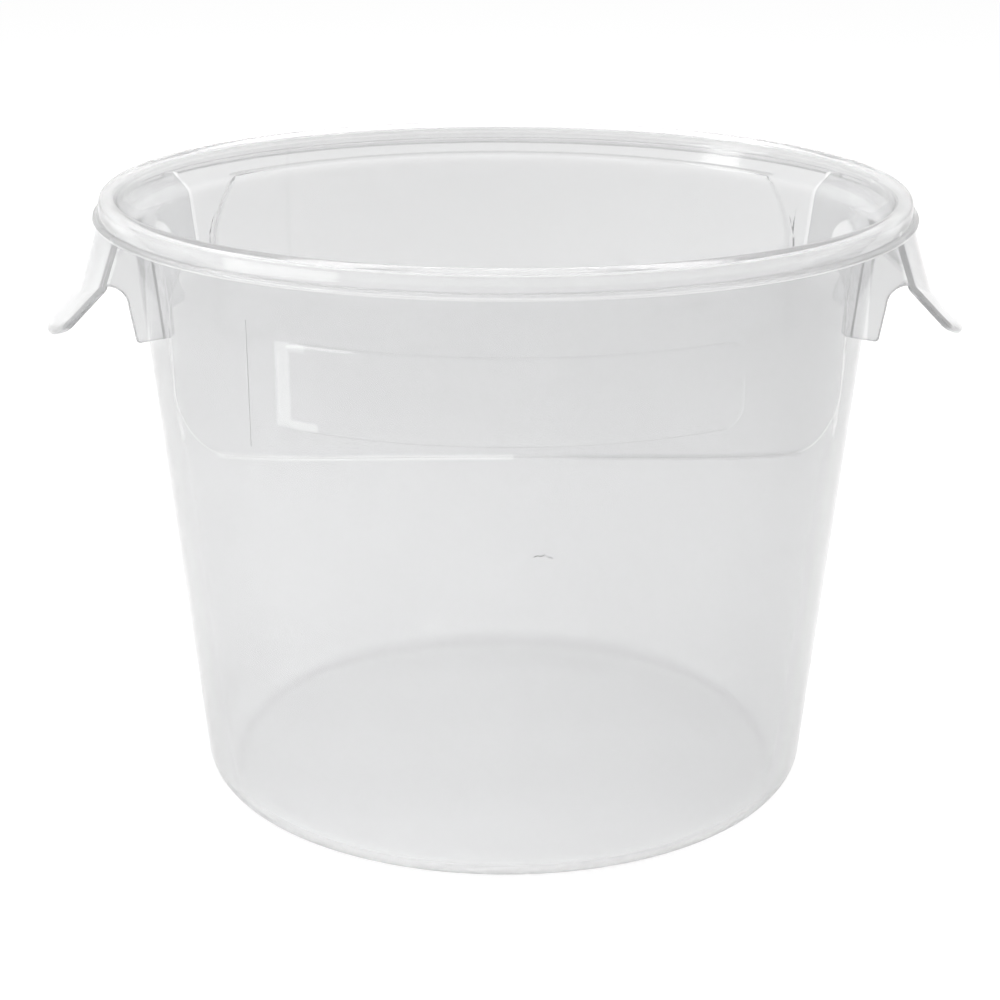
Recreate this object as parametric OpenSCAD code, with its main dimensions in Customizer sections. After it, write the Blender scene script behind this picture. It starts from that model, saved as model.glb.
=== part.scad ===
// Round food storage tub: one clear tapered moulding with a rolled rim, two
// open lug handles and shallow raised bands. It stands on z = 0 with its axis
// on +Z, its handles on +X and -X, and its label panel facing -Y. The moulding
// is drawn as the regions that it is designed from, which meet face to face.

/* [Tub] */
// Height from the table to the top of the rim
body_h = 192; // [160:1:230]
// Diameter of the rim at its widest, over the lip
rim_d = 254; // [230:1:290]
// How far the lip stands out from the line of the wall
rim_reach = 10.7; // [9.6:0.1:13]
// Lean of the wall from upright, in degrees
wall_lean = 5.8; // [3:0.1:8]
// Thickness of the wall, rim and handles
wall_t = 2; // [1.5:0.1:2.4]
// Thickness of the floor
floor_t = 2.2; // [1.5:0.1:3.5]
// Outer radius of the rounded heel between floor and wall
heel_r = 10.5; // [7:0.5:14]

/* [Rim] */
// Height of the rim from its top to the underside of the lip
rim_h = 8; // [7:0.1:10]
// Outer radius of the rolled bead on top
bead_r = 2.8; // [2.6:0.1:3.4]
// Height of the lip that a lid snaps under
lip_h = 1.9; // [1.2:0.1:2.6]
// How far the lip stands out from the skirt
lip_out = 1.9; // [1.3:0.1:2.6]
// Height over which the wall flares out to the bead
flare_h = 8.2; // [6:0.1:12]

/* [Handles] */
// Width of each handle over its side webs
handle_w = 100; // [94:1:120]
// Height of the handle plate from the lip down to its elbow, in the middle
plate_h = 23.2; // [18:0.1:26]
// Lean of the handle plate from upright, in degrees
plate_lean = 17.4; // [8:0.1:20]
// Reach of the finger lip beyond the elbow
grip_reach = 10.2; // [8:0.1:14]
// Slope of the finger lip below the level, in degrees
grip_slope = 46.5; // [43:0.5:52]
// Rise of the elbow and the finger lip's edge from the middle of a handle to its ends
grip_bow = 9.9; // [6:0.1:10.5]
// How far the finger lip's corners stand behind its middle
grip_back = 11.5; // [10:0.1:14]
// Radius of the finger lip's corners in the side view
grip_corner_r = 3; // [1:0.5:6]
// Height of each side web, from the lip down to its foot
web_h = 29.5; // [24:0.5:34]
// Width of a web's foot along the handle
foot_w = 9; // [6:0.5:11]
// Radius of the arch between a web's foot and the plate
arch_r = 6; // [3:0.5:7]
// How far the foot's flare under the rim stands out from the wall
flare_t = 3.2; // [2.8:0.1:5]

/* [Bands] */
// Height of the bands at the front and back, from their lower edge up to the rim's flare
band_h = 44; // [38:1:60]
// How much lower that edge is beside the handles
band_drop = 16; // [4:1:24]
// Gap between a band's end and the foot of the web beside it
band_gap = 1.8; // [0.5:0.1:16]
// Radius of the bands' lower corners
band_corner_r = 14; // [8:1:20]
// How far the bands stand out from the wall
band_t = 0.8; // [0.4:0.1:1.4]

/* [Label panel] */
// Width of the bare label panel
panel_w = 130; // [80:1:140]
// Height of the label panel
panel_h = 26; // [14:1:30]
// Height of the panel's lower edge above that of the band
panel_rise = 3; // [2:0.5:8]
// Radius of the panel's corners
panel_corner_r = 6; // [3:0.5:7]
// How far the panel stands out from the band
panel_t = 0.5; // [0.3:0.1:1]

/* [Hidden] */
$fn = 180;
overrun = 40;
small_cut = 4;

clear_tint = [0.88, 0.89, 0.89];
thick_tint = [0.82, 0.83, 0.83];
edge_tint = [0.94, 0.94, 0.94];

// Wall: its outer radius at a height, and its width measured level
function wall_r(z) = rim_d / 2 - rim_reach - (body_h - z) * tan(wall_lean);
wall_w = wall_t / cos(wall_lean);

// Heel: an arc that is tangent to the floor and to the wall
heel_c_r = wall_r(heel_r) - heel_r / cos(wall_lean);
heel_in_r = heel_r - wall_t;
// It ends on a line square to the wall, which runs through this outer point
heel_past = heel_r + wall_t;
joint_r = heel_c_r + heel_past * cos(wall_lean);
joint_z = heel_r - heel_past * sin(wall_lean);

// Rim
bead_z = body_h - bead_r;
flare_z = bead_z - flare_h;
lip_z = body_h - rim_h;
lip_r = rim_d / 2;
skirt_r = lip_r - lip_out;
bead_c_r = skirt_r - bead_r;

// Handle: the outer line of the plate runs from the lip to the elbow, then on
// to the tip of the grip
web_y = handle_w / 2;
elbow_z = lip_z - plate_h;
elbow_r = skirt_r + plate_h * tan(plate_lean);
tip_r = elbow_r + grip_reach;
tip_z = elbow_z - grip_reach * tan(grip_slope);
plate_w = wall_t / cos(plate_lean);
grip_w = wall_t / sin(grip_slope);
// The grip is part of a wider cone, whose axis lies behind the tub's own, so
// that it meets the plate higher up at the handle's ends
bow_in = grip_bow / tan(grip_slope);
end_x = sqrt(pow(elbow_r - grip_bow * tan(plate_lean), 2) - pow(web_y, 2));
end_back = elbow_r - bow_in - end_x;
grip_cone_r = bow_in + (pow(web_y, 2) + pow(end_back, 2)) / (2 * end_back);
grip_axis_x = elbow_r - grip_cone_r;
function plate_r(z) = skirt_r + (lip_z - z) * tan(plate_lean);
function grip_r(z) = grip_cone_r + (elbow_z - z) / tan(grip_slope);
// Arcs of the grip's edge, from above and from the side
edge_plan_r = (pow(web_y, 2) + pow(grip_back, 2)) / (2 * grip_back);
edge_side_r = (pow(web_y, 2) + pow(grip_bow, 2)) / (2 * grip_bow);
edge_z = tip_z - wall_t;

// Webs
foot_z = lip_z - web_h;
foot_x = sqrt(pow(wall_r(foot_z), 2) - pow(web_y, 2));
arch_x = foot_x + foot_w + arch_r;
arch_z = elbow_z + grip_bow;
// Heights of the flared foot's edge as shares of the web's height, from its
// foot up, and how far the edge stands off the foot as shares of the same
flare_up_shares = [0.1, 0.4, 0.68, 0.88, 1];
flare_off_shares = [0.02, 0.06, 0.14, 0.24, 0.32];
flare_low_z = foot_z + web_h * flare_up_shares[0];

// Bands: their lower edge is an arc in the front view
band_z = flare_z - band_h;
band_half_w = foot_x - band_gap;
band_arc_r = (pow(band_half_w, 2) + pow(band_drop, 2)) / (2 * band_drop);
band_low_z = band_z - band_drop;

// Solid of revolution that fills a profile of [radius, height] points
module turned(points) {
    rotate_extrude() polygon(points);
}

// Cone that fills the wall's outer line, moved out by an offset
module wall_core(offset) {
    turned([[0, 0], [wall_r(0) + offset, 0], [wall_r(body_h) + offset, body_h], [0, body_h]]);
}

// Skin that lies on the wall, between two offsets
module wall_skin(inner, outer) {
    difference() {
        wall_core(outer);
        wall_core(inner);
    }
}

// Outline in the front view, carried forwards from a distance in front of the axis
module front_cut(start) {
    translate([0, -start, 0]) rotate([90, 0, 0]) linear_extrude(lip_r) children();
}

module floor_panel() {
    color(clear_tint) cylinder(r = heel_c_r, h = floor_t);
}

module base_heel() {
    color(thick_tint) rotate_extrude() intersection() {
        translate([heel_c_r, heel_r]) difference() {
            circle(heel_r);
            circle(heel_in_r);
        }
        polygon([[heel_c_r, heel_r], [heel_c_r, 0], [heel_c_r + heel_past, 0],
            [joint_r, joint_z]]);
    }
}

module side_wall() {
    color(clear_tint) intersection() {
        wall_skin(-wall_w, 0);
        turned([[heel_c_r, heel_r], [joint_r, joint_z], [lip_r, flare_z], [heel_c_r, flare_z]]);
    }
}

// Front view of a band: straight ends, an arched lower edge, round corners
module band_outline() {
    corner_x = band_half_w - band_corner_r;
    centre_z = band_z - band_arc_r;
    corner_z = centre_z + sqrt(pow(band_arc_r + band_corner_r, 2) - pow(corner_x, 2));
    difference() {
        translate([-band_half_w, band_low_z]) square([2 * band_half_w, flare_z - band_low_z]);
        translate([0, centre_z]) circle(band_arc_r);
        for (side = [-1, 1]) {
            difference() {
                translate([side * (corner_x + band_half_w) / 2, (band_low_z + corner_z) / 2])
                    square([band_half_w - corner_x, corner_z - band_low_z], center = true);
                translate([side * corner_x, corner_z]) circle(band_corner_r);
            }
        }
        foot_flare_outline();
        mirror([1, 0]) foot_flare_outline();
    }
}

module band() {
    color(thick_tint) intersection() {
        wall_skin(0, band_t);
        front_cut(0) band_outline();
    }
}

module front_band() {
    band();
}

module back_band() {
    rotate([0, 0, 180]) band();
}

module label_panel() {
    panel_z = band_z + panel_rise;
    color(edge_tint) intersection() {
        wall_skin(band_t, band_t + panel_t);
        front_cut(0) translate([0, panel_z + panel_h / 2])
            rounded_plate(panel_w, panel_h, panel_corner_r);
    }
}

module rounded_plate(w, h, r) {
    square([w - 2 * r, h], center = true);
    square([w, h - 2 * r], center = true);
    for (x = [-1, 1], z = [-1, 1]) translate([x * (w / 2 - r), z * (h / 2 - r)]) circle(r);
}

// Everything inside the outer surface of the shoulder
module shoulder_core() {
    turned([[0, flare_z], [wall_r(flare_z), flare_z],
        [bead_c_r - bead_r + wall_t, bead_z], [0, bead_z]]);
}

module rim_shoulder() {
    color(clear_tint) difference() {
        shoulder_core();
        turned([[0, flare_z], [wall_r(flare_z) - wall_w, flare_z],
            [bead_c_r - bead_r, bead_z], [0, bead_z]]);
    }
}

module rim_bead() {
    color(edge_tint) rotate_extrude() translate([bead_c_r, bead_z]) intersection() {
        difference() {
            circle(bead_r);
            circle(bead_r - wall_t);
        }
        translate([-bead_r, 0]) square([2 * bead_r, bead_r]);
    }
}

module rim_skirt() {
    color(clear_tint) turned([
        [skirt_r - wall_t, lip_z + lip_h],
        [skirt_r, lip_z + lip_h],
        [skirt_r, bead_z],
        [skirt_r - wall_t, bead_z]]);
}

module rim_lip() {
    round_r = lip_h / 2;
    color(edge_tint) rotate_extrude() {
        translate([skirt_r - wall_t, lip_z]) square([lip_r - round_r - skirt_r + wall_t, lip_h]);
        translate([lip_r - round_r, lip_z + round_r]) circle(round_r);
    }
}

// Side view of a handle: an arched lower edge with rounded corners
module handle_outline() {
    corner_y = web_y - grip_corner_r;
    centre_z = edge_z + edge_side_r;
    corner_z = centre_z - sqrt(pow(edge_side_r - grip_corner_r, 2) - pow(corner_y, 2));
    intersection() {
        translate([0, centre_z]) circle(edge_side_r);
        difference() {
            translate([-web_y, edge_z]) square([handle_w, lip_z - edge_z]);
            for (side = [-1, 1]) {
                difference() {
                    translate([side * (corner_y + web_y) / 2, (edge_z + corner_z) / 2])
                        square([grip_corner_r, corner_z - edge_z], center = true);
                    translate([side * corner_y, corner_z]) circle(grip_corner_r);
                }
            }
        }
    }
}

module handle_cut() {
    rotate([90, 0, 90]) linear_extrude(lip_r + overrun) handle_outline();
}

// Cone that fills the plate's outer line, moved in by an offset
module plate_core(offset) {
    turned([[0, edge_z], [plate_r(edge_z) - offset, edge_z],
        [plate_r(lip_z) - offset, lip_z], [0, lip_z]]);
}

// Cone that fills the grip's upper line, moved in by an offset
module grip_core(offset) {
    translate([grip_axis_x, 0, 0]) turned([[0, edge_z], [grip_r(edge_z) - offset, edge_z],
        [grip_r(lip_z) - offset, lip_z], [0, lip_z]]);
}

module handle_plate() {
    color(clear_tint) intersection() {
        difference() {
            plate_core(0);
            plate_core(plate_w);
            grip_core(0);
        }
        handle_cut();
    }
}

module handle_grip() {
    color(edge_tint) intersection() {
        difference() {
            grip_core(0);
            grip_core(grip_w);
            plate_core(plate_w);
        }
        translate([tip_r - edge_plan_r, 0, edge_z]) cylinder(r = edge_plan_r, h = lip_z - edge_z);
        handle_cut();
    }
}

// Front view of the web's foot where it spreads over the wall towards the rim
module foot_flare_outline() {
    edge = [for (i = [0 : len(flare_up_shares) - 1])
        [foot_x - web_h * flare_off_shares[i], foot_z + web_h * flare_up_shares[i]]];
    polygon(concat(edge, [[lip_r, lip_z], [lip_r, flare_low_z]]));
}

// Front view of a side web: the foot, the arch beside it and the full top
module web_outline() {
    difference() {
        translate([0, foot_z]) square([elbow_r, web_h]);
        translate([foot_x + foot_w, foot_z - small_cut])
            square([elbow_r, arch_z - arch_r - foot_z + small_cut]);
        translate([arch_x, arch_z - arch_r]) circle(arch_r);
        translate([arch_x, arch_z - arch_r]) square([elbow_r, arch_r]);
    }
}

module front_web() {
    color(thick_tint) difference() {
        union() {
            intersection() {
                translate([0, wall_t - web_y, 0]) rotate([90, 0, 0]) linear_extrude(wall_t)
                    web_outline();
                plate_core(plate_w);
            }
            intersection() {
                wall_core(flare_t);
                front_cut(web_y - wall_t) foot_flare_outline();
            }
        }
        wall_core(0);
        shoulder_core();
    }
}

module back_web() {
    mirror([0, 1, 0]) front_web();
}

module on_left() {
    mirror([1, 0, 0]) children();
}

floor_panel();
base_heel();
side_wall();
front_band();
back_band();
label_panel();
rim_shoulder();
rim_bead();
rim_skirt();
rim_lip();
on_left() handle_plate();  // left_handle_plate
on_left() handle_grip();  // left_handle_grip
on_left() front_web();  // left_front_web
on_left() back_web();  // left_back_web
handle_plate();  // right_handle_plate
handle_grip();  // right_handle_grip
front_web();  // right_front_web
back_web();  // right_back_web
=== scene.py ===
import math

import bmesh
import bpy
from mathutils import Matrix, Vector
from mathutils.geometry import delaunay_2d_cdt


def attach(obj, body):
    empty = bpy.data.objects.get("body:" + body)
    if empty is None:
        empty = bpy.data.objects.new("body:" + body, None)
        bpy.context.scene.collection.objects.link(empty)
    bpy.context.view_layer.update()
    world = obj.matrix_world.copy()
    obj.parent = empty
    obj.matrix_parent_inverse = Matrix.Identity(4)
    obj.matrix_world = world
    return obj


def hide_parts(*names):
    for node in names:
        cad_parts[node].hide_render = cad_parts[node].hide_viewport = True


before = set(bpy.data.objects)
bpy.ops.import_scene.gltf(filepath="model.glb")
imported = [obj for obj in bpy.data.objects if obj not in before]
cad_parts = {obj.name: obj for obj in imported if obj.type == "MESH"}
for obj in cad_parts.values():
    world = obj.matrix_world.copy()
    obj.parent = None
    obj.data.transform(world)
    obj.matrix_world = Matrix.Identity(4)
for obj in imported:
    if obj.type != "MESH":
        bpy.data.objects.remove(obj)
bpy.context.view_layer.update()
mm = 0.001
print("frame:", len(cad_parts), "nodes")

# The wall that everything is laid on, in millimetres
wall = {
    "topRadius": 116.3,  # of its line carried up to the rim's height
    "height": 192.0,
    "slope": math.tan(math.radians(5.8)),
    "thickness": 2.0,
}


def wallRadius(z):
    return wall["topRadius"] - (wall["height"] - z) * wall["slope"]


def linkNew(name, mesh):
    made = bpy.data.objects.new(name, mesh)
    bpy.context.scene.collection.objects.link(made)
    return made


def meshFrom(name, points, faces):  # points in millimetres
    mesh = bpy.data.meshes.new(name)
    mesh.from_pydata([Vector(p) * mm for p in points], [], faces)
    mesh.validate()
    return mesh


# Its nodes are built below, once the pieces that it is shaded by are there
plastic = bpy.data.materials.new("clearPolypropylene")


def mathNode(tree, operation, first, second=None, third=None):
    node = tree.nodes.new("ShaderNodeMath")
    node.operation = operation
    for socket, value in zip(node.inputs, (first, second, third)):
        if value is None:
            continue
        if isinstance(value, (int, float)):
            socket.default_value = value
        else:
            tree.links.new(value, socket)
    return node.outputs[0]


def newTree(name, sockets):
    tree = bpy.data.node_groups.new(name, "GeometryNodeTree")
    tree.interface.new_socket("Geometry", in_out="INPUT", socket_type="NodeSocketGeometry")
    tree.interface.new_socket("Geometry", in_out="OUTPUT", socket_type="NodeSocketGeometry")
    for label, kind in sockets:
        tree.interface.new_socket(label, in_out="INPUT", socket_type=kind)
    return tree


# Runs the tree on the source object and keeps the result as a plain mesh
def applyTree(source, tree, values, name):
    modifier = source.modifiers.new("build", "NODES")
    modifier.node_group = tree
    for item in tree.interface.items_tree:
        if item.item_type == "SOCKET" and item.in_out == "INPUT" and item.name in values:
            modifier[item.identifier] = values[item.name]
    source.update_tag()
    bpy.context.view_layer.update()
    graph = bpy.context.evaluated_depsgraph_get()
    mesh = bpy.data.meshes.new_from_object(source.evaluated_get(graph), depsgraph=graph)
    mesh.name = name
    source.modifiers.remove(modifier)
    bpy.data.objects.remove(source)
    return mesh


def finishTree(tree, geometry, source):
    nodes, links = tree.nodes, tree.links
    smooth = nodes.new("GeometryNodeSetShadeSmooth")
    realize = nodes.new("GeometryNodeRealizeInstances")
    paint = nodes.new("GeometryNodeSetMaterial")
    out = nodes.new("NodeGroupOutput")
    links.new(geometry, smooth.inputs["Geometry"])
    links.new(smooth.outputs["Geometry"], realize.inputs["Geometry"])
    links.new(realize.outputs["Geometry"], paint.inputs["Geometry"])
    links.new(source.outputs["Finish"], paint.inputs["Material"])
    links.new(paint.outputs["Geometry"], out.inputs["Geometry"])


# Turns the profile line of another object about the vertical axis
def revolveTree():
    tree = newTree("revolvedProfile", [
        ("Profile", "NodeSocketObject"), ("Rows", "NodeSocketInt"),
        ("Columns", "NodeSocketInt"), ("Merge Distance", "NodeSocketFloat"),
        ("Finish", "NodeSocketMaterial")])
    nodes, links = tree.nodes, tree.links
    source = nodes.new("NodeGroupInput")
    profile = nodes.new("GeometryNodeObjectInfo")
    links.new(source.outputs["Profile"], profile.inputs["Object"])
    grid = nodes.new("GeometryNodeMeshGrid")
    grid.inputs["Size X"].default_value = 2 * math.pi
    lastRow = mathNode(tree, "SUBTRACT", source.outputs["Rows"], 1)
    links.new(lastRow, grid.inputs["Size Y"])
    links.new(mathNode(tree, "ADD", source.outputs["Columns"], 1), grid.inputs["Vertices X"])
    links.new(source.outputs["Rows"], grid.inputs["Vertices Y"])
    place = nodes.new("GeometryNodeInputPosition")
    flat = nodes.new("ShaderNodeSeparateXYZ")
    links.new(place.outputs["Position"], flat.inputs["Vector"])
    halfRow = mathNode(tree, "MULTIPLY", lastRow, 0.5)
    row = mathNode(tree, "ROUND", mathNode(tree, "ADD", flat.outputs["Y"], halfRow))
    sample = nodes.new("GeometryNodeSampleIndex")
    sample.data_type = "FLOAT_VECTOR"
    links.new(profile.outputs["Geometry"], sample.inputs["Geometry"])
    links.new(place.outputs["Position"], sample.inputs["Value"])
    links.new(row, sample.inputs["Index"])
    line = nodes.new("ShaderNodeSeparateXYZ")
    links.new(sample.outputs["Value"], line.inputs["Vector"])
    turned = nodes.new("ShaderNodeCombineXYZ")
    cosine = mathNode(tree, "COSINE", flat.outputs["X"])
    sine = mathNode(tree, "SINE", flat.outputs["X"])
    links.new(mathNode(tree, "MULTIPLY", line.outputs["X"], cosine), turned.inputs["X"])
    links.new(mathNode(tree, "MULTIPLY", line.outputs["X"], sine), turned.inputs["Y"])
    links.new(line.outputs["Z"], turned.inputs["Z"])
    move = nodes.new("GeometryNodeSetPosition")
    links.new(grid.outputs["Mesh"], move.inputs["Geometry"])
    links.new(turned.outputs["Vector"], move.inputs["Position"])
    merge = nodes.new("GeometryNodeMergeByDistance")
    links.new(move.outputs["Geometry"], merge.inputs["Geometry"])
    links.new(source.outputs["Merge Distance"], merge.inputs["Distance"])
    finishTree(tree, merge.outputs["Geometry"], source)
    return tree


# Lays a flat plate, drawn in x and z with its thickness in y, on the wall's front
def wrapTree():
    tree = newTree("plateOnWall", [
        ("Base Radius", "NodeSocketFloat"), ("Wall Slope", "NodeSocketFloat"),
        ("Finish", "NodeSocketMaterial")])
    nodes, links = tree.nodes, tree.links
    source = nodes.new("NodeGroupInput")
    place = nodes.new("GeometryNodeInputPosition")
    flat = nodes.new("ShaderNodeSeparateXYZ")
    links.new(place.outputs["Position"], flat.inputs["Vector"])
    rise = mathNode(tree, "MULTIPLY", flat.outputs["Z"], source.outputs["Wall Slope"])
    radius = mathNode(tree, "ADD", rise, source.outputs["Base Radius"])
    radius = mathNode(tree, "ADD", radius, flat.outputs["Y"])
    square = mathNode(tree, "MULTIPLY", radius, radius)
    across = mathNode(tree, "MULTIPLY", flat.outputs["X"], flat.outputs["X"])
    depth = mathNode(tree, "SQRT", mathNode(tree, "SUBTRACT", square, across))
    laid = nodes.new("ShaderNodeCombineXYZ")
    links.new(flat.outputs["X"], laid.inputs["X"])
    links.new(mathNode(tree, "MULTIPLY", depth, -1.0), laid.inputs["Y"])
    links.new(flat.outputs["Z"], laid.inputs["Z"])
    move = nodes.new("GeometryNodeSetPosition")
    links.new(source.outputs["Geometry"], move.inputs["Geometry"])
    links.new(laid.outputs["Vector"], move.inputs["Position"])
    finishTree(tree, move.outputs["Geometry"], source)
    return tree


# Shell: one profile line from the underside's middle over the rim to the floor
shellSizes = {
    "columns": 480,
    "floor": 2.2,
    "heelRadius": 10.5,
    "flareBottom": 181.0,
    "beadRadius": 2.8,
    "beadCentre": (122.3, 189.2),
    "lipBottom": 184.0,
    "lipHeight": 1.9,
    "lipRadius": 127.0,
    "lipFillet": 0.35,  # between the skirt and the lip's top
    "skirtChamfer": 0.4,  # at the skirt's inner foot
    "kinkReach": 20.0,  # of wall below the flare that its soft corner is measured on
    "outerKink": 5.0,
    "innerKink": 7.0,
    "wallRows": 12,
    "merge": 0.002,
}


# Points on an arc, angles in degrees from the outward direction
def arcPoints(centre, radius, start, end, count, flatten=1.0):
    angles = [math.radians(start + (end - start) * i / count) for i in range(count + 1)]
    return [(centre[0] + radius * math.cos(a), centre[1] + radius * flatten * math.sin(a))
            for a in angles]


def stretch(first, last, count):
    return [tuple(a + (b - a) * i / count for a, b in zip(first, last))
            for i in range(count + 1)]


# The corner of a line as an arc of the given radius
def softCorner(before, corner, after, radius, count=6):
    a, b, c = Vector(before), Vector(corner), Vector(after)
    u, v = (a - b).normalized(), (c - b).normalized()
    half = math.acos(max(-1, min(1, u.dot(v)))) / 2
    reach = radius / math.tan(half)
    middle = b + (u + v).normalized() * radius / math.sin(half)
    start, end = b + u * reach - middle, b + v * reach - middle
    turn = math.atan2(start.x * end.y - start.y * end.x, start.dot(end))
    found = []
    for i in range(count + 1):
        t = turn * i / count
        spin = Matrix(((math.cos(t), -math.sin(t)), (math.sin(t), math.cos(t))))
        found.append(tuple(middle + spin @ start))
    return found


def shellProfile(s):
    lean = math.degrees(math.atan(wall["slope"]))
    wide = wall["thickness"] / math.cos(math.radians(lean))
    heel = s["heelRadius"]
    heelAt = (wallRadius(heel) - heel / math.cos(math.radians(lean)), heel)
    rows = s["wallRows"]
    bead, beadAt = s["beadRadius"], s["beadCentre"]
    inBead = bead - wall["thickness"]
    flare = s["flareBottom"]
    lipRound = s["lipHeight"] / 2
    lipAt = (s["lipRadius"] - lipRound, s["lipBottom"] + lipRound)
    skirt = beadAt[0] + bead
    lowZ = flare - s["kinkReach"]
    low = (wallRadius(lowZ), lowZ)
    kink = (wallRadius(flare), flare)
    line = stretch((0, 0), (heelAt[0], 0), 12)
    line += arcPoints(heelAt, heel, -90, -lean, 12)[1:]
    bottom = line[-1]
    soft = softCorner(low, kink, (beadAt[0] - inBead, beadAt[1]), s["outerKink"])
    line += stretch(bottom, soft[0], rows)[1:]
    line += soft[1:]
    line += stretch(soft[-1], (beadAt[0] - inBead, beadAt[1]), 4)[1:]
    line += arcPoints(beadAt, inBead, 180, 0, 8)[1:]
    inSkirt, chamfer = skirt - wall["thickness"], s["skirtChamfer"]
    line += stretch((inSkirt, beadAt[1]), (inSkirt, s["lipBottom"] + chamfer), 3)[1:]
    line += [(inSkirt + chamfer, s["lipBottom"])]
    line += arcPoints(lipAt, lipRound, -90, 90, 10)
    lipTop, fillet = s["lipBottom"] + s["lipHeight"], s["lipFillet"]
    line += arcPoints((skirt + fillet, lipTop + fillet), fillet, -90, -180, 2)
    line += arcPoints(beadAt, bead, 0, 180, 24)
    inKink = (kink[0] - wide, flare)
    soft = softCorner((beadAt[0] - bead, beadAt[1]), inKink, (low[0] - wide, low[1]),
                      s["innerKink"])
    line += stretch((beadAt[0] - bead, beadAt[1]), soft[0], 4)[1:]
    line += soft[1:]
    inHeel = heel - wall["thickness"]
    inArc = arcPoints(heelAt, inHeel, -lean, -90, 12, (heel - s["floor"]) / inHeel)
    line += stretch(soft[-1], inArc[0], rows)[1:]
    line += inArc[1:]
    line += stretch(inArc[-1], (0, s["floor"]), 12)[1:]
    return line


profilePoints = shellProfile(shellSizes)
profileMesh = bpy.data.meshes.new("profileLine")
profileMesh.from_pydata([(r * mm, 0, z * mm) for r, z in profilePoints],
                        [(i, i + 1) for i in range(len(profilePoints) - 1)], [])
profile = linkNew("profileLine", profileMesh)
shellMesh = applyTree(linkNew("shellSeed", bpy.data.meshes.new("seed")), revolveTree(), {
    "Profile": profile, "Rows": len(profilePoints), "Columns": shellSizes["columns"],
    "Merge Distance": shellSizes["merge"] * mm, "Finish": plastic}, "shell")
bpy.data.objects.remove(profile)
print("shell:", len(shellMesh.polygons), "faces")


# Closes doubles and turns every face of a closed mesh outwards
def outward(mesh, closeDoubles=True):
    bm = bmesh.new()
    bm.from_mesh(mesh)
    if closeDoubles:
        bmesh.ops.remove_doubles(bm, verts=bm.verts, dist=shellSizes["merge"] * mm)
        bmesh.ops.dissolve_degenerate(bm, dist=shellSizes["merge"] * mm / 2, edges=bm.edges)
    bmesh.ops.recalc_face_normals(bm, faces=bm.faces)
    loose = [e for e in bm.edges if len(e.link_faces) != 2]
    print("  ", mesh.name, "open edges", len(loose), "volume cm3", round(bm.calc_volume() * 1e6, 2))
    bm.to_mesh(mesh)
    bm.free()
    for polygon in mesh.polygons:
        polygon.use_smooth = True
    if not mesh.materials:
        mesh.materials.append(plastic)
    return mesh


# The closed outline, which runs anticlockwise, moved inwards
def insetLoop(outline, distance):
    count = len(outline)
    found = []
    for i, point in enumerate(outline):
        before, after = Vector(outline[i - 1]), Vector(outline[(i + 1) % count])
        along = (after - before).normalized()
        found.append((point[0] - along.y * distance, point[1] + along.x * distance))
    return found


def insideOutline(x, y, outline):
    inside = False
    for i, b in enumerate(outline):
        a = outline[i - 1]
        if (a[1] > y) != (b[1] > y) and x < (b[0] - a[0]) * (y - a[1]) / (b[1] - a[1]) + a[0]:
            inside = not inside
    return inside


def distanceTo(x, y, outline):
    return min(math.hypot(x - p[0], y - p[1]) for p in outline)


# Triangles that fill a loop, with inner points on a grid
def capTriangles(loop, spacing):
    xs, ys = [p[0] for p in loop], [p[1] for p in loop]
    inner = []
    across = max(2, round((max(xs) - min(xs)) / spacing[0]))
    up = max(2, round((max(ys) - min(ys)) / spacing[1]))
    for i in range(1, across):
        for j in range(1, up):
            x = min(xs) + (max(xs) - min(xs)) * i / across
            y = min(ys) + (max(ys) - min(ys)) * j / up
            if insideOutline(x, y, loop) and distanceTo(x, y, loop) > 0.6 * min(spacing):
                inner.append((x, y))
    points = [Vector(p) for p in loop + inner]
    made = delaunay_2d_cdt(points, [], [list(range(len(loop)))], 1, 1e-5)
    return [tuple(p) for p in made[0]], [tuple(f) for f in made[2]], made[3]


# A closed plate; levels are (inset, height in y) from its back to its front
def plateMesh(name, outline, levels, spacing):
    loops = [insetLoop(outline, inset) for inset, _ in levels]
    points, faces = [], []
    for loop, (_, height) in zip(loops, levels):
        points += [(x, height, z) for x, z in loop]
    count = len(outline)
    for level in range(len(levels) - 1):
        for i in range(count):
            j = (i + 1) % count
            a, b = level * count, (level + 1) * count
            faces.append((a + i, a + j, b + j, b + i))
    for level in (0, len(levels) - 1):
        flat, triangles, origin = capTriangles(loops[level], spacing)
        place = []
        for k, (x, z) in enumerate(flat):
            ring = [o for o in origin[k] if o < count]
            if ring:
                place.append(level * count + ring[0])
            else:
                place.append(len(points))
                points.append((x, levels[level][1], z))
        faces += [tuple(place[v] for v in triangle) for triangle in triangles]
    return meshFrom(name, points, faces)


# Levels of a plate whose front edge is rounded over a width and a height
def softLevels(back, front, width, height, steps=6):
    found = [(0, back)]
    for i in range(steps + 1):
        t = math.pi / 2 * i / steps
        found.append((width * (1 - math.cos(t)), front - height + height * math.sin(t)))
    return found


# Points of a closed outline, with none further apart than the longest
def spread(points, longest):
    found = []
    for i, p in enumerate(points):
        q = points[(i + 1) % len(points)]
        count = max(1, math.ceil(math.dist(p, q) / longest))
        found += [(p[0] + (q[0] - p[0]) * k / count, p[1] + (q[1] - p[1]) * k / count)
                  for k in range(count)]
    return found


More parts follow.
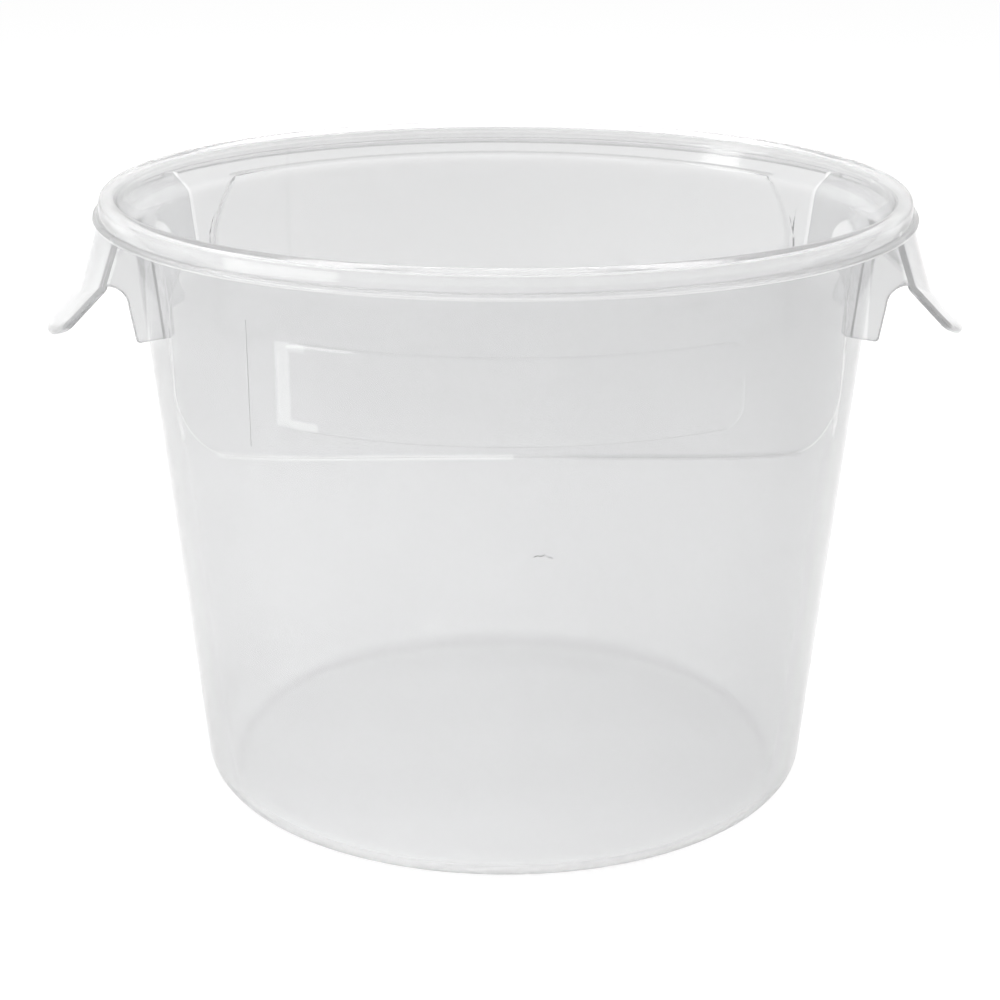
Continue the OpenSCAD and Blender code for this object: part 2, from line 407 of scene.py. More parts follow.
# Bands: an arched lower edge, round corners, ends beside the handles
bandSizes = {
    "halfWidth": 98.97,
    "lowest": 121.0,
    "middle": 137.0,
    "corner": 14.0,
    "top": 183.0,
    "proud": 0.8,
    "sunk": 1.0,
    "softWidth": 0.9,
    "backSoftWidth": 2.8,  # eased more, so that it doesn't show as a dark line from inside
    "softFoot": 0.1,  # of the edge that stays upright
    "gap": 2.0,  # between points of the outline, at most
    "spacing": (3, 6),  # of the points inside the outline
    "footLine": [(98.97, 165.0), (98.1, 169.5), (96.6, 174.6), (94.4, 179.2), (91.9, 183.0)],
}


# The lower edge's arc and the corners that follow from the band's sizes
def bandForm(s):
    drop, half, corner = s["middle"] - s["lowest"], s["halfWidth"], s["corner"]
    bow = (half ** 2 + drop ** 2) / (2 * drop)
    centre = s["middle"] - bow
    cornerX = half - corner
    return bow, centre, cornerX, centre + math.sqrt((bow + corner) ** 2 - cornerX ** 2)


def bandOutline(s):
    bow, centre, cornerX, cornerZ = bandForm(s)
    toArch = math.degrees(math.atan2(cornerZ - centre, cornerX))
    right = [(bow * math.cos(math.radians(a)), centre + bow * math.sin(math.radians(a)))
             for a in [90 + (toArch - 90) * i / 40 for i in range(41)]]
    right += arcPoints((cornerX, cornerZ), s["corner"], toArch - 180, 0, 16)[1:]
    right += s["footLine"]
    left = [(-x, z) for x, z in reversed(right[1:])]
    return spread(right + left, s["gap"])


wrap = wrapTree()
wrapValues = {"Base Radius": wallRadius(0) * mm, "Wall Slope": wall["slope"], "Finish": plastic}


def laidPlate(name, outline, levels):
    flat = linkNew(name, plateMesh(name, outline, levels, bandSizes["spacing"]))
    return outward(applyTree(flat, wrap, wrapValues, name))


# Levels of a plate whose front edge eases in and out over a width
def slopeLevels(back, front, width, height, steps=8):
    found = [(0, back)]
    for i in range(steps + 1):
        t = i / steps
        found.append((width * t, front - height + height * (1 - math.cos(math.pi * t)) / 2))
    return found


proud, sunk = bandSizes["proud"], bandSizes["sunk"]
frontBand = laidPlate("frontBand", bandOutline(bandSizes), softLevels(
    -sunk, proud, bandSizes["softWidth"], proud - bandSizes["softFoot"]))
backBand = laidPlate("backBand", bandOutline(bandSizes), slopeLevels(
    -sunk, proud, bandSizes["backSoftWidth"], proud))
backBand.transform(Matrix.Rotation(math.pi, 4, "Z"))

# Label panel
panelSizes = {
    "width": 130.0,
    "bottom": 140.0,
    "height": 26.0,
    "corner": 6.0,
    "sunk": -0.2,
    "proud": 1.3,
    "softWidth": 3.4,
    "softHeight": 0.5,
}


def roundedOutline(width, bottom, height, corner):
    x, low, high = width / 2 - corner, bottom + corner, bottom + height - corner
    found = []
    for cx, cz, start in ((x, low, -90), (x, high, 0), (-x, high, 90), (-x, low, 180)):
        found += arcPoints((cx, cz), corner, start, start + 90, 10)
    return found


panelOutline = roundedOutline(panelSizes["width"], panelSizes["bottom"], panelSizes["height"],
                              panelSizes["corner"])
panel = laidPlate("labelPanel", spread(panelOutline, bandSizes["gap"]), softLevels(
    panelSizes["sunk"], panelSizes["proud"], panelSizes["softWidth"], panelSizes["softHeight"]))

# Marks of the mould: a fine line left of the panel and a nick below it
markSizes = {
    "lineAt": -74.0,
    "lineFrom": 132.0,
    "lineTo": 170.0,
    "lineWidth": 0.55,
    "lineProud": 0.11,
    "nick": [(5.6, 106.9), (7.4, 106.3), (8.3, 106.6), (9.6, 106.0), (11.4, 106.5), (9.8, 107.0),
             (8.9, 107.8), (8.0, 107.2), (6.9, 107.5)],
    "nickProud": 0.6,
    "nickFoot": 0.05,  # of the nick's edge that stays upright
    "nickSoft": 0.12,
    "nickGap": 0.6,
    "lineGap": 3.0,
    "lineSoft": 0.15,
    "sunk": 0.3,
}


def markOutline(s):
    x, w = s["lineAt"], s["lineWidth"] / 2
    return spread([(x - w, s["lineFrom"]), (x + w, s["lineFrom"]),
                   (x + w, s["lineTo"]), (x - w, s["lineTo"])], s["lineGap"])


onBand = bandSizes["proud"]
frontLine = laidPlate("frontLine", markOutline(markSizes), [
    (0, onBand - markSizes["sunk"]), (0, onBand),
    (markSizes["lineSoft"], onBand + markSizes["lineProud"])])
nick = laidPlate("nick", spread(markSizes["nick"], markSizes["nickGap"]), [
    (0, -markSizes["sunk"]), (0, markSizes["nickFoot"]), (markSizes["nickSoft"], markSizes["nickProud"])])
print("bands, panel and marks laid on the wall")

# Handles
handleSizes = {
    "halfWidth": 50.0,
    "thickness": 2.0,
    "lip": 184.0,
    "skirt": 125.1,
    "plateHeight": 23.2,
    "plateLean": 17.4,
    "reach": 10.2,
    "slope": 46.5,
    "bow": 9.9,
    "back": 11.5,
    "elbowRound": 4.0,
    "elbowShares": (0.8, 4),  # of that round, and of it for each length of finger lip
    "corner": 3.0,
    "columns": 44,
    "plateRows": 8,
    "edgeRound": 0.9,
    "edgeRings": (0.4, 0.75, 0.93, 1.0),  # shares of the round at a side edge
    "sideColumns": (46, 47, 47.8, 48.4),  # closer columns beside the edge's corners
    "tipInset": 0.95,
    "tipBulge": 0.8,
    "leastGrip": (0.8, 2.5),  # above the tip's edge and below the elbow
    "rootTop": 186.2,
    "footBottom": 153.6,
    "footSlant": 1.6,
    "footWidth": 8.6,
    "footDraft": 2.0,
    "arch": 6.0,
    "webTop": 186.6,
    "webSoft": 0.5,
    "webGap": 1.2,
    "webSpacing": (1.5, 1.5),
    "webInWall": 1.0,
    "webInPlate": 0.4,
    "shoulderSlope": 0.771,
    "footRound": 1.2,
}


# Lengths of the handle that follow from its sizes
def handleForm(s):
    lean, slope = math.radians(s["plateLean"]), math.radians(s["slope"])
    elbowZ = s["lip"] - s["plateHeight"]
    elbowR = s["skirt"] + s["plateHeight"] * math.tan(lean)
    inBow = s["bow"] / math.tan(slope)
    endX = math.sqrt((elbowR - s["bow"] * math.tan(lean)) ** 2 - s["halfWidth"] ** 2)
    back = elbowR - inBow - endX
    coneR = inBow + (s["halfWidth"] ** 2 + back ** 2) / (2 * back)
    return {
        "lean": lean, "slope": slope, "elbowZ": elbowZ, "elbowR": elbowR, "coneR": coneR,
        "coneX": elbowR - coneR, "tipR": elbowR + s["reach"],
        "edgeZ": elbowZ - s["reach"] * math.tan(slope) - s["thickness"],
        "planR": (s["halfWidth"] ** 2 + s["back"] ** 2) / (2 * s["back"]),
        "sideR": (s["halfWidth"] ** 2 + s["bow"] ** 2) / (2 * s["bow"])}


# Where the plate stands at a height and a distance along the handle
def plateX(s, f, z, y, inwards):
    radius = s["skirt"] + max(0, s["lip"] - z) * math.tan(f["lean"])
    return math.sqrt((radius - inwards / math.cos(f["lean"])) ** 2 - y * y)


def gripX(s, f, z, y, inwards):
    radius = f["coneR"] + (f["elbowZ"] - z) / math.tan(f["slope"])
    return f["coneX"] + math.sqrt((radius - inwards / math.sin(f["slope"])) ** 2 - y * y)


# The height at which a test turns true
def halve(low, high, isHigh):
    for _ in range(40):
        middle = (low + high) / 2
        if isHigh(middle):
            high = middle
        else:
            low = middle
    return (low + high) / 2


# The middle line of the sheet, from the rim to the finger lip's edge
def handleSection(s, f, y):
    half = s["thickness"] / 2
    elbow = halve(f["edgeZ"], s["lip"],
                  lambda z: plateX(s, f, z, y, half) > gripX(s, f, z, y, half))
    edgeX = f["tipR"] - f["planR"] + math.sqrt(f["planR"] ** 2 - y * y) - s["tipInset"]
    low = f["edgeZ"] + f["sideR"] - math.sqrt(f["sideR"] ** 2 - y * y)
    inCorner = abs(y) - (s["halfWidth"] - s["corner"])
    if inCorner > 0:
        low += s["corner"] - math.sqrt(max(0, s["corner"] ** 2 - inCorner ** 2))
    end = halve(f["edgeZ"] - s["corner"] * 2, elbow, lambda z: gripX(s, f, z, y, half) < edgeX)
    overEdge, underElbow = s["leastGrip"]
    end = min(max(end, low + overEdge), elbow - underElbow)
    points = [(plateX(s, f, s["rootTop"], y, half), s["rootTop"])]
    bend = (plateX(s, f, elbow, y, half), elbow)
    tip = (gripX(s, f, end, y, half), end)
    start = (plateX(s, f, s["lip"], y, half), s["lip"])
    most, perLength = s["elbowShares"]
    room = most * min(s["elbowRound"], perLength * math.dist(bend, tip))
    soft = softCorner(start, bend, tip, room, 8)
    points += stretch(start, soft[0], s["plateRows"]) + soft[1:]
    return points + stretch(soft[-1], tip, 6)[1:]


# The plate and the finger lip below it, one bent sheet
def handleSheet(s):
    f = handleForm(s)
    inner = s["halfWidth"] - s["edgeRound"]
    places = [-inner + 2 * inner * i / s["columns"] for i in range(s["columns"] + 1)]
    places = [p for p in places if abs(p) < s["sideColumns"][0]]
    ends = [*s["sideColumns"], inner]
    places = [-p for p in reversed(ends)] + places + ends
    rings = [(p, 0) for p in places]
    for q in s["edgeRings"]:
        rings = [(-inner - s["edgeRound"] * q, q)] + rings + [(inner + s["edgeRound"] * q, q)]
    points, faces = [], []
    for y, q in rings:
        line = [Vector(p) for p in handleSection(s, f, y)]
        above = line[s["plateRows"]]  # where the elbow's round starts
        half = s["thickness"] / 2 * math.sqrt(max(0, 1 - q * q)) * math.hypot(above.x, y) / above.x
        sides = []
        for i in range(len(line)):
            along = (line[min(len(line) - 1, i + 1)] - line[max(0, i - 1)]).normalized()
            sides.append(Vector((-along.y, along.x)))
        along = (line[-1] - line[-2]).normalized()
        outer = [p + n * half for p, n in zip(line, sides)]
        below = [p - n * half for p, n in zip(line, sides)]
        tip = [line[-1] + (sides[-1] * math.cos(t) + along * math.sin(t) * s["tipBulge"]) * half
               for t in [math.pi * k / 6 for k in range(1, 6)]]
        ring = outer + tip + below[::-1]
        points += [(p.x, y, p.y) for p in ring]
    size = len(points) // len(rings)
    for r in range(len(rings) - 1):
        for k in range(size):
            m = (k + 1) % size
            faces.append((r * size + k, r * size + m, (r + 1) * size + m, (r + 1) * size + k))
    return outward(meshFrom("handleSheet", points, faces))


def webOutline(s):
    f = handleForm(s)
    half = s["thickness"] / 2
    y = s["halfWidth"] - half
    flare = shellSizes["flareBottom"]

    def nearWall(z):
        r = wallRadius(min(z, flare)) - s["webInWall"] + max(0, z - flare) * s["shoulderSlope"]
        return math.sqrt(r * r - y * y)

    low = s["footBottom"] + s["footSlant"]
    archTop = f["elbowZ"] + s["bow"]
    foot = math.sqrt(wallRadius(low) ** 2 - s["halfWidth"] ** 2)
    footEnd = foot + s["footWidth"]
    archX, archZ = footEnd + s["footDraft"] + s["arch"], archTop - s["arch"]
    line = softCorner((nearWall(low), low), (footEnd, s["footBottom"]),
                      (footEnd + s["footDraft"], archZ), s["footRound"], 4)
    line = [(nearWall(low), low)] + line
    line += arcPoints((archX, archZ), s["arch"], 180, 98, 11)
    sunk = s["webInPlate"]
    line += [(plateX(s, f, archTop, y, sunk), archTop)]
    rise = [archTop + (s["webTop"] - archTop) * i / 8 for i in range(1, 9)]
    line += [(plateX(s, f, z, y, sunk), z) for z in rise]
    fall = [s["webTop"] - (s["webTop"] - low) * i / 16 for i in range(16)]
    line += [(nearWall(z), z) for z in fall]
    return spread(line, s["webGap"])


def webMesh(s):
    soft = s["webSoft"]
    outer, inner = s["halfWidth"], s["halfWidth"] - s["thickness"]
    levels = [(soft, inner)]
    levels += [(soft * (1 - math.sin(t)), inner + soft * (1 - math.cos(t)))
               for t in (math.pi / 6, math.pi / 3, math.pi / 2)]
    levels += [(soft * (1 - math.cos(t)), outer - soft * (1 - math.sin(t)))
               for t in (0, math.pi / 6, math.pi / 3, math.pi / 2)]
    return outward(plateMesh("web", webOutline(s), levels, s["webSpacing"]))


sheetMesh = handleSheet(handleSizes)
webBack = webMesh(handleSizes)
webFront = webBack.copy()
webFront.transform(Matrix.Scale(-1, 4, (0, 1, 0)))
outward(webFront)


# The union of closed meshes as one closed mesh
def joinSolids(name, base, others):
    body = linkNew(name, base)
    for mesh in others:
        tool = linkNew("tool", mesh)
        cut = body.modifiers.new("join", "BOOLEAN")
        cut.operation = "UNION"
        cut.solver = "MANIFOLD"
        cut.object = tool
        bpy.context.view_layer.update()
        graph = bpy.context.evaluated_depsgraph_get()
        joined = bpy.data.meshes.new_from_object(body.evaluated_get(graph), depsgraph=graph)
        body.modifiers.remove(cut)
        bpy.data.objects.remove(tool)
        body.data = joined
        print("   joined", mesh.name, len(joined.polygons), "faces")
    return body


mirrorX = Matrix.Scale(-1, 4, (1, 0, 0))
parts = [frontBand, backBand, panel, frontLine, nick]
for mesh in (sheetMesh, webFront, webBack):
    other = mesh.copy()
    other.transform(mirrorX)
    parts += [mesh, outward(other)]
smoothAngle = 34
tub = joinSolids("tubMoulding", outward(shellMesh), parts)
outward(tub.data, closeDoubles=False)
tub.data.set_sharp_from_angle(angle=math.radians(smoothAngle))
print("tub:", sum(len(p.vertices) - 2 for p in tub.data.polygons), "triangles")

plasticLook = {
    "tint": (1.0, 1.002, 1.006),
    "clearness": 0.76,
    "refraction": 1.37,
    "roughness": (0.06, 0.12),
    "cloudScale": 26,
    "cloudSwing": 0.012,
    "rippleScale": 90,
    "ripple": 0.02,
    "rippleDepth": 0.0006,
    # height in metres and how light the plastic is there: the milky plastic's own tone, with painted light
    # and shade that makes it lighter towards the floor and darker towards the rim
    "toneAndPaintedShadeByHeight": [(0.0, 0.97), (0.014, 0.93), (0.075, 0.9), (0.13, 0.885), (0.179, 0.85), (0.192, 0.86)],
    "rampTop": 0.2,
}

# Places, in metres, where painted light and shade make the plastic lighter or darker than its height alone
# makes it
paintedLightAndShade = {
    "underLip": 0.184,
    "webX": 0.1005,
    "webY": 0.0476,
    "webDrop": 0.12,
    "rootX": 0.1062,
    "rootLight": 0.88,
    "backWebLight": 0.86,
    "behindX": 0.09,  # the wall between a handle's webs, painted lighter
    "behindZ": 0.156,
    "behindLight": 0.97,
    "shoulderZ": (0.1815, 0.1885),
    "shoulderLight": 0.8,
    "plateLine": (0.1806, 0.3134),  # the plates' inner face, painted lighter: radius + height * slope
    "plateLight": 0.89,
    "rimRadius": 0.1192,
    "rimZ": 0.1838,
    "rimLight": 1.0,
    "heelZ": 0.006,
    "heelRadius": 0.085,
    "heelLight": 1.0,
    "backLine": (-0.074, 0.0004),
    "backLineZ": 0.14,
    "backLineDrop": 0.03,
    "sideY": (0.075, 0.02),
    "sideTop": 0.15,
    "sideDrop": 0.1,
    "floorZ": (0.001, 0.0065),
    "floorEdge": 0.0875,  # radius of the painted shade line round the floor, and what is added to it at the back
    "floorEdgeMore": 0.0058,
    "floorEdgeY": (0.0, 0.09),
    "floorEdgeHalf": 0.0014,
    "floorEdgeFrom": -0.02,
    "floorEdgeDrop": 0.2,
    "floorBackY": (0.01, 0.08),
    "floorBackDrop": 0.09,
    "frontY": -0.04,
    "bandDrop": 0.03,
    "bandLineHalf": 0.0008,
    "bandLineLight": 0.12,
    "bandLineDark": 0.09,
    "bandLineTurn": (0.0, 0.03),
    # painted highlight on the left end of the label panel: middle and half size in x and z
    "frost": [(-0.0634, 0.1530, 0.0021, 0.0125), (-0.0610, 0.1642, 0.0042, 0.0011),
              (-0.0595, 0.1415, 0.0058, 0.0012)],
    "frostY": -0.05,
    "frostLight": 0.1,
}


def over(tree, value, limit):
    return mathNode(tree, "GREATER_THAN", value, limit)


def under(tree, value, limit):
    return mathNode(tree, "LESS_THAN", value, limit)


def near(tree, value, middle, half):
    return mathNode(tree, "COMPARE", value, middle, half)


def allOf(tree, first, *others):
    for other in others:
        first = mathNode(tree, "MULTIPLY", first, other)
    return first


def awayFrom(tree, first, second):
    square = mathNode(tree, "MULTIPLY", first, first)
    return mathNode(tree, "SQRT", mathNode(tree, "MULTIPLY_ADD", second, second, square))


def ease(tree, value, ends):  # 0 at the first end and 1 at the second
    node = tree.nodes.new("ShaderNodeMapRange")
    node.interpolation_type = "SMOOTHSTEP"
    node.inputs["From Min"].default_value = ends[0]
    node.inputs["From Max"].default_value = ends[1]
    tree.links.new(value, node.inputs["Value"])
    return node.outputs["Result"]


def darken(tree, level, where, drop):
    return mathNode(tree, "SUBTRACT", level, mathNode(tree, "MULTIPLY", where, drop))


def lighten(tree, level, where, light):
    return mathNode(tree, "MAXIMUM", level, mathNode(tree, "MULTIPLY", where, light))


# Painted shade on the front webs away from the wall, and painted light on their roots, on the back webs
# and on the wall between a handle's webs
def paintWebLightAndShade(tree, level, at, s):
    inWeb = allOf(tree, over(tree, at["wide"], s["webX"]), over(tree, at["deep"], s["webY"]),
                  under(tree, at["z"], s["underLip"]))
    front = allOf(tree, inWeb, under(tree, at["y"], 0.0))
    level = darken(tree, level, allOf(tree, front, over(tree, at["wide"], s["rootX"])), s["webDrop"])
    level = lighten(tree, level, allOf(tree, front, under(tree, at["wide"], s["rootX"])), s["rootLight"])
    back = allOf(tree, inWeb, over(tree, at["y"], 0.0))
    level = lighten(tree, level, back, s["backWebLight"])
    behind = allOf(tree, under(tree, at["deep"], s["webY"]), over(tree, at["wide"], s["behindX"]),
                   over(tree, at["z"], s["behindZ"]), under(tree, at["z"], s["underLip"]))
    return lighten(tree, level, behind, s["behindLight"])


# Painted light and shade on the shell: back shoulder, front heel, back mould line and sides
def paintShellLightAndShade(tree, level, at, s):
    # Painted shade: the inner shoulder at the back is held no lighter than a set level
    low, high = s["shoulderZ"]
    onShoulder = allOf(tree, over(tree, at["z"], low), under(tree, at["z"], high),
                       under(tree, at["away"], s["rimRadius"]), over(tree, at["y"], 0.0),
                       over(tree, at["deep"], s["webY"]))
    # a level of 2 elsewhere leaves the rest as it is
    most = mathNode(tree, "MULTIPLY_ADD", onShoulder, s["shoulderLight"] - 2.0, 2.0)
    level = mathNode(tree, "MINIMUM", level, most)
    # Painted light on the front heel
    onHeel = allOf(tree, under(tree, at["z"], s["heelZ"]), over(tree, at["away"], s["heelRadius"]),
                   under(tree, at["y"], 0.0))
    level = lighten(tree, level, onHeel, s["heelLight"])
    # Painted shade: a faint dark line where the back mould line runs
    onLine = allOf(tree, near(tree, at["x"], *s["backLine"]), over(tree, at["y"], 0.0),
                   over(tree, at["z"], s["backLineZ"]))
    level = darken(tree, level, onLine, s["backLineDrop"])
    # Painted shade on the sides below the handles, below a given height
    atSide = allOf(tree, ease(tree, at["deep"], s["sideY"]), under(tree, at["z"], s["sideTop"]))
    return darken(tree, level, atSide, s["sideDrop"])


# Painted shade: a dark line round the floor and a darker back part of the floor
def paintFloorShade(tree, level, at, s):
    low, high = s["floorZ"]
    onFloor = allOf(tree, under(tree, at["z"], high), over(tree, at["z"], low))
    edge = mathNode(tree, "MULTIPLY_ADD", ease(tree, at["y"], s["floorEdgeY"]), s["floorEdgeMore"],
                    s["floorEdge"])
    fromEdge = mathNode(tree, "SUBTRACT", at["away"], edge)
    onEdge = allOf(tree, onFloor, near(tree, fromEdge, 0.0, s["floorEdgeHalf"]),
                   over(tree, at["y"], s["floorEdgeFrom"]))
    level = darken(tree, level, onEdge, s["floorEdgeDrop"])
    atBack = allOf(tree, onFloor, under(tree, fromEdge, 0.0), ease(tree, at["y"], s["floorBackY"]))
    return darken(tree, level, atBack, s["floorBackDrop"])


# Painted shade over the front band, and along its arched lower edge a painted highlight on the left half
# and painted shade on the right
def paintBandLightAndShade(tree, level, at, s):
    bow, centre, cornerX, cornerZ = [value * mm for value in bandForm(bandSizes)]
    fromCorner = awayFrom(tree, mathNode(tree, "SUBTRACT", at["wide"], cornerX),
                          mathNode(tree, "SUBTRACT", at["z"], cornerZ))
    cutOff = allOf(tree, over(tree, at["wide"], cornerX), under(tree, at["z"], cornerZ),
                   over(tree, fromCorner, bandSizes["corner"] * mm))
    fromCentre = awayFrom(tree, at["x"], mathNode(tree, "SUBTRACT", at["z"], centre))
    inBand = allOf(tree, under(tree, at["wide"], bandSizes["halfWidth"] * mm), over(tree, fromCentre, bow),
                   under(tree, at["z"], bandSizes["top"] * mm), under(tree, at["y"], s["frontY"]),
                   mathNode(tree, "SUBTRACT", 1.0, cutOff))
    level = darken(tree, level, inBand, s["bandDrop"])
    fromArc = mathNode(tree, "SUBTRACT", fromCentre, bow)
    onLine = allOf(tree, under(tree, at["wide"], cornerX), near(tree, fromArc, 0.0, s["bandLineHalf"]),
                   under(tree, at["y"], s["frontY"]))
    leftPart = allOf(tree, onLine, under(tree, at["x"], 0.0))
    level = mathNode(tree, "ADD", level, mathNode(tree, "MULTIPLY", leftPart, s["bandLineLight"]))
    rightPart = allOf(tree, onLine, ease(tree, at["x"], s["bandLineTurn"]))
    return darken(tree, level, rightPart, s["bandLineDark"])


# Painted light on the handle plates' inner face and on the rim
def paintRimAndPlateLight(tree, level, at, s):
    plateAt, plateSlope = s["plateLine"]
    outside = mathNode(tree, "MULTIPLY_ADD", at["z"], plateSlope, at["away"])
    inPlate = allOf(tree, over(tree, outside, plateAt), under(tree, at["z"], s["underLip"]))
    level = lighten(tree, level, inPlate, s["plateLight"])
    inRim = allOf(tree, over(tree, at["away"], s["rimRadius"]), over(tree, at["z"], s["rimZ"]))
    return lighten(tree, level, inRim, s["rimLight"])


# Painted highlight on the left end of the label panel, on its front only
def paintPanelHighlight(tree, level, at, s):
    highlighted = 0.0
    for atX, atZ, halfX, halfZ in s["frost"]:
        patch = allOf(tree, near(tree, at["x"], atX, halfX), near(tree, at["z"], atZ, halfZ))
        highlighted = mathNode(tree, "MAXIMUM", patch, highlighted)
    highlighted = allOf(tree, highlighted, under(tree, at["y"], s["frostY"]))
    return mathNode(tree, "ADD", level, mathNode(tree, "MULTIPLY", highlighted, s["frostLight"]))


def noise(tree, place, scale, detail):
    node = tree.nodes.new("ShaderNodeTexNoise")
    node.inputs["Scale"].default_value = scale
    node.inputs["Detail"].default_value = detail
    tree.links.new(place.outputs["Object"], node.inputs["Vector"])
    return node.outputs["Fac"]


def mapRange(tree, value, start, end, low, high):
    node = tree.nodes.new("ShaderNodeMapRange")
    for label, number in (("From Min", start), ("From Max", end), ("To Min", low), ("To Max", high)):
        node.inputs[label].default_value = number
    tree.links.new(value, node.inputs["Value"])
    return node.outputs["Result"]


def paintPlastic(material, look):
    material.use_nodes = True
    tree = material.node_tree
    nodes, links = tree.nodes, tree.links
    nodes.clear()
    out = nodes.new("ShaderNodeOutputMaterial")
    shader = nodes.new("ShaderNodeBsdfPrincipled")
    shader.inputs["Transmission Weight"].default_value = look["clearness"]
    shader.inputs["IOR"].default_value = look["refraction"]
    place = nodes.new("ShaderNodeTexCoord")
    cloud = noise(tree, place, look["cloudScale"], 2)  # slow changes of the melt
    split = nodes.new("ShaderNodeSeparateXYZ")
    links.new(place.outputs["Object"], split.inputs["Vector"])
    # Lightness by height, with painted light and shade: lighter towards the floor, darker towards the rim
    ramp = nodes.new("ShaderNodeValToRGB")
    stops = ramp.color_ramp.elements
    while len(stops) < len(look["toneAndPaintedShadeByHeight"]):
        stops.new(0.5)
    for stop, (z, value) in zip(stops, look["toneAndPaintedShadeByHeight"]):
        stop.position = z / look["rampTop"]
        stop.color = (value, value, value, 1)
    links.new(mapRange(tree, split.outputs["Z"], 0, look["rampTop"], 0, 1), ramp.inputs["Fac"])
    x, y, z = split.outputs["X"], split.outputs["Y"], split.outputs["Z"]
    at = {"x": x, "y": y, "z": z, "wide": mathNode(tree, "ABSOLUTE", x),
          "deep": mathNode(tree, "ABSOLUTE", y), "away": awayFrom(tree, x, y)}
    level = darken(tree, ramp.outputs["Color"], cloud, look["cloudSwing"])
    for shade in (paintWebLightAndShade, paintShellLightAndShade, paintFloorShade, paintBandLightAndShade, paintRimAndPlateLight, paintPanelHighlight):
        level = shade(tree, level, at, paintedLightAndShade)
    tint = nodes.new("ShaderNodeVectorMath")
    tint.operation = "SCALE"
    tint.inputs["Vector"].default_value = look["tint"]
    links.new(level, tint.inputs["Scale"])
    links.new(tint.outputs["Vector"], shader.inputs["Base Color"])
    links.new(mapRange(tree, cloud, 0, 1, *look["roughness"]), shader.inputs["Roughness"])
    bump = nodes.new("ShaderNodeBump")
    bump.inputs["Strength"].default_value = look["ripple"]
    bump.inputs["Distance"].default_value = look["rippleDepth"]
    links.new(noise(tree, place, look["rippleScale"], 1), bump.inputs["Height"])
    links.new(bump.outputs["Normal"], shader.inputs["Normal"])
    links.new(shader.outputs["BSDF"], out.inputs["Surface"])


paintPlastic(plastic, plasticLook)
print("plastic:", len(plastic.node_tree.nodes), "nodes")

# Stage
stageSizes = {"half": 3.0, "grey": 0.8, "seenGrey": 0.25, "seenGlow": 0.87, "below": 0.0002}


# 1 for rays from the camera, in gloss or through the clear wall
def lookedAt(tree):
    path = tree.nodes.new("ShaderNodeLightPath")
    straight = mathNode(tree, "MAXIMUM", path.outputs["Is Camera Ray"], path.outputs["Is Glossy Ray"])
    return mathNode(tree, "MAXIMUM", straight, path.outputs["Is Transmission Ray"])


def greyDiffuse(nodes, grey):
    node = nodes.new("ShaderNodeBsdfDiffuse")
    node.inputs["Color"].default_value = (grey, grey, grey, 1)
    return node.outputs["BSDF"]


def makeFloor(s):
    material = bpy.data.materials.new("paleFloor")
    material.use_nodes = True
    tree = material.node_tree
    nodes, links = tree.nodes, tree.links
    nodes.clear()
    out = nodes.new("ShaderNodeOutputMaterial")
    glow = nodes.new("ShaderNodeEmission")
    glow.inputs["Strength"].default_value = s["seenGlow"]
    seen = nodes.new("ShaderNodeAddShader")
    links.new(greyDiffuse(nodes, s["seenGrey"]), seen.inputs[0])
    links.new(glow.outputs["Emission"], seen.inputs[1])
    mix = nodes.new("ShaderNodeMixShader")
    links.new(lookedAt(tree), mix.inputs["Fac"])
    links.new(greyDiffuse(nodes, s["grey"]), mix.inputs[1])
    links.new(seen.outputs["Shader"], mix.inputs[2])
    links.new(mix.outputs["Shader"], out.inputs["Surface"])
    return material


half = stageSizes["half"]
floorMesh = bpy.data.meshes.new("floor")
floorMesh.from_pydata([(-half, -half, 0), (half, -half, 0), (half, half, 0), (-half, half, 0)],
                      [], [(0, 1, 2, 3)])
floorMesh.materials.append(makeFloor(stageSizes))
floorPlane = linkNew("floor", floorMesh)
floorPlane.location.z = -stageSizes["below"]

worldSizes = {"soft": 0.4, "inGloss": 0.8}  # strength for diffuse and for glossy rays

world = bpy.data.worlds.new("studio")
bpy.context.scene.world = world
world.use_nodes = True
tree = world.node_tree
tree.nodes.clear()
worldOut = tree.nodes.new("ShaderNodeOutputWorld")
backdrop = tree.nodes.new("ShaderNodeBackground")
backdrop.inputs["Color"].default_value = (1, 1, 1, 1)
path = tree.nodes.new("ShaderNodeLightPath")
direct = mathNode(tree, "MAXIMUM", path.outputs["Is Camera Ray"], path.outputs["Is Transmission Ray"])
soft = mathNode(tree, "MULTIPLY_ADD", path.outputs["Is Glossy Ray"],
                worldSizes["inGloss"] - worldSizes["soft"], worldSizes["soft"])
tree.links.new(mathNode(tree, "MAXIMUM", soft, direct), backdrop.inputs["Strength"])
tree.links.new(backdrop.outputs["Background"], worldOut.inputs["Surface"])

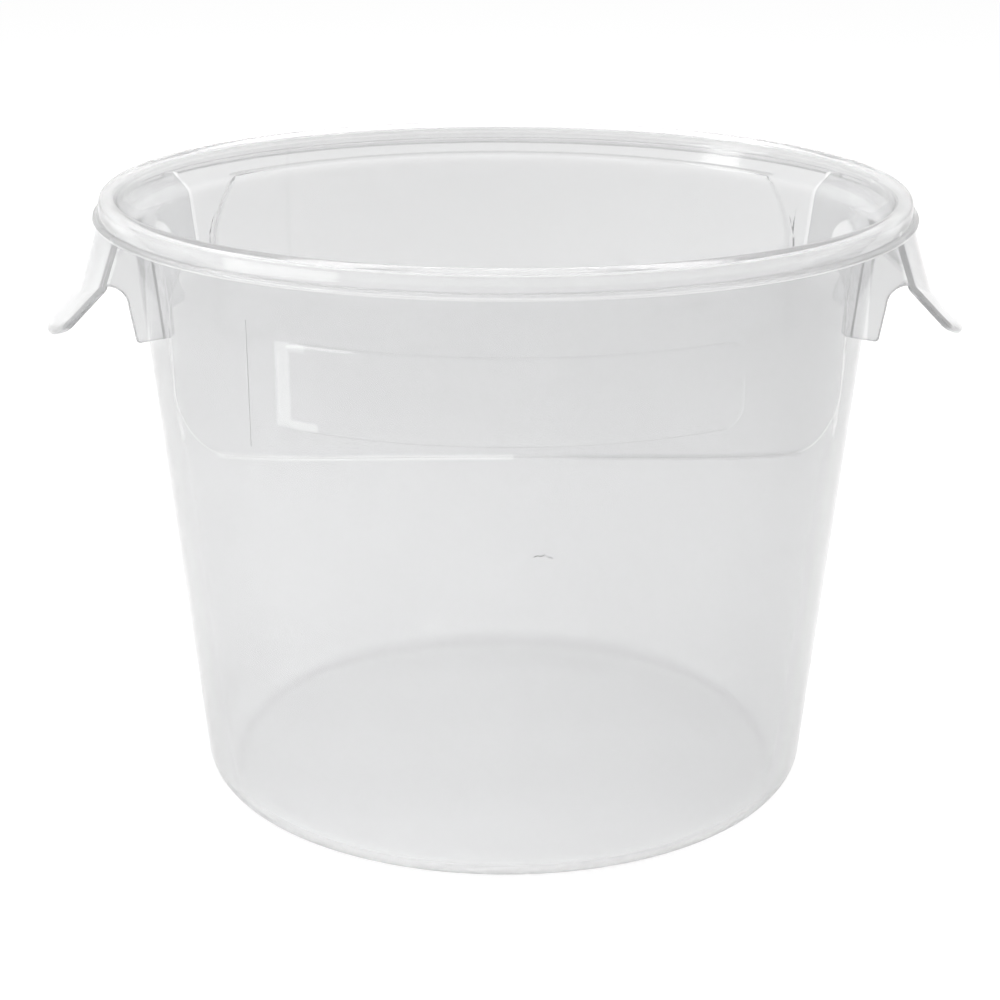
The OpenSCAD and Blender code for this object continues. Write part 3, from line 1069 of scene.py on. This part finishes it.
# Lamps that are hidden from gloss (g) or from rays through the plastic (t) leave no mirror image
lampAim = (0, 0, 0.1)
lamps = {
    "sideLow": {"at": (-0.72, -0.42, 0.12), "size": (0.5, 0.24), "power": 1.3, "hidden": "t"},
    "overhead": {"at": (-1.05, 0.1, 1.15), "size": (0.5, 0.5), "power": 4, "hidden": ""},
    "top": {"at": (0.1, 0.35, 1.3), "size": (0.9, 0.7), "power": 18, "hidden": "gt"},
    "front": {"at": (-0.1, -1.3, 0.25), "size": (1.2, 0.4), "power": 6.5, "hidden": "gt"},
    "right": {"at": (0.9, 0.45, 0.5), "size": (0.5, 0.5), "power": 1.5, "hidden": "gt"},
    "left": {"at": (-0.9, 0.45, 0.5), "size": (0.5, 0.5), "power": 0.5, "hidden": "gt"},
}
for name, lamp in lamps.items():
    light = bpy.data.lights.new(name, "AREA")
    light.shape = "RECTANGLE"
    light.size, light.size_y = lamp["size"]
    light.energy = lamp["power"]
    holder = linkNew(name, light)
    holder.location = lamp["at"]
    aim = Vector(lampAim) - Vector(lamp["at"])
    holder.rotation_euler = aim.to_track_quat("-Z", "Y").to_euler()
    holder.visible_glossy = "g" not in lamp["hidden"]
    holder.visible_transmission = "t" not in lamp["hidden"]
print("stage, world and", len(lamps), "lamps")

# Camera, at the photograph's viewpoint; "at" in millimetres, angles in degrees
cameraSizes = {
    "at": (-15.1, -722.9, 323.8),
    "down": 18.01,
    "roll": 0.2,
    "lens": 84.5,
    "shift": -0.0047,
}
camera = bpy.data.cameras.new("camera")
camera.sensor_width = 36
camera.lens = cameraSizes["lens"]
camera.shift_x = cameraSizes["shift"]
camera.clip_start = 0.01
cameraHolder = linkNew("camera", camera)
eye = Vector(cameraSizes["at"]) * mm
yaw = math.atan2(-eye.x, -eye.y)
down = math.radians(cameraSizes["down"])
ahead = Vector((math.sin(yaw) * math.cos(down), math.cos(yaw) * math.cos(down), -math.sin(down)))
turn = ahead.to_track_quat("-Z", "Y") @ Matrix.Rotation(
    math.radians(cameraSizes["roll"]), 3, "Z").to_quaternion()
cameraHolder.location = eye
cameraHolder.rotation_mode = "QUATERNION"
cameraHolder.rotation_quaternion = turn
bpy.context.scene.camera = cameraHolder

bpy.context.scene.view_settings.view_transform = "Standard"
print("camera set")

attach(tub, "root")
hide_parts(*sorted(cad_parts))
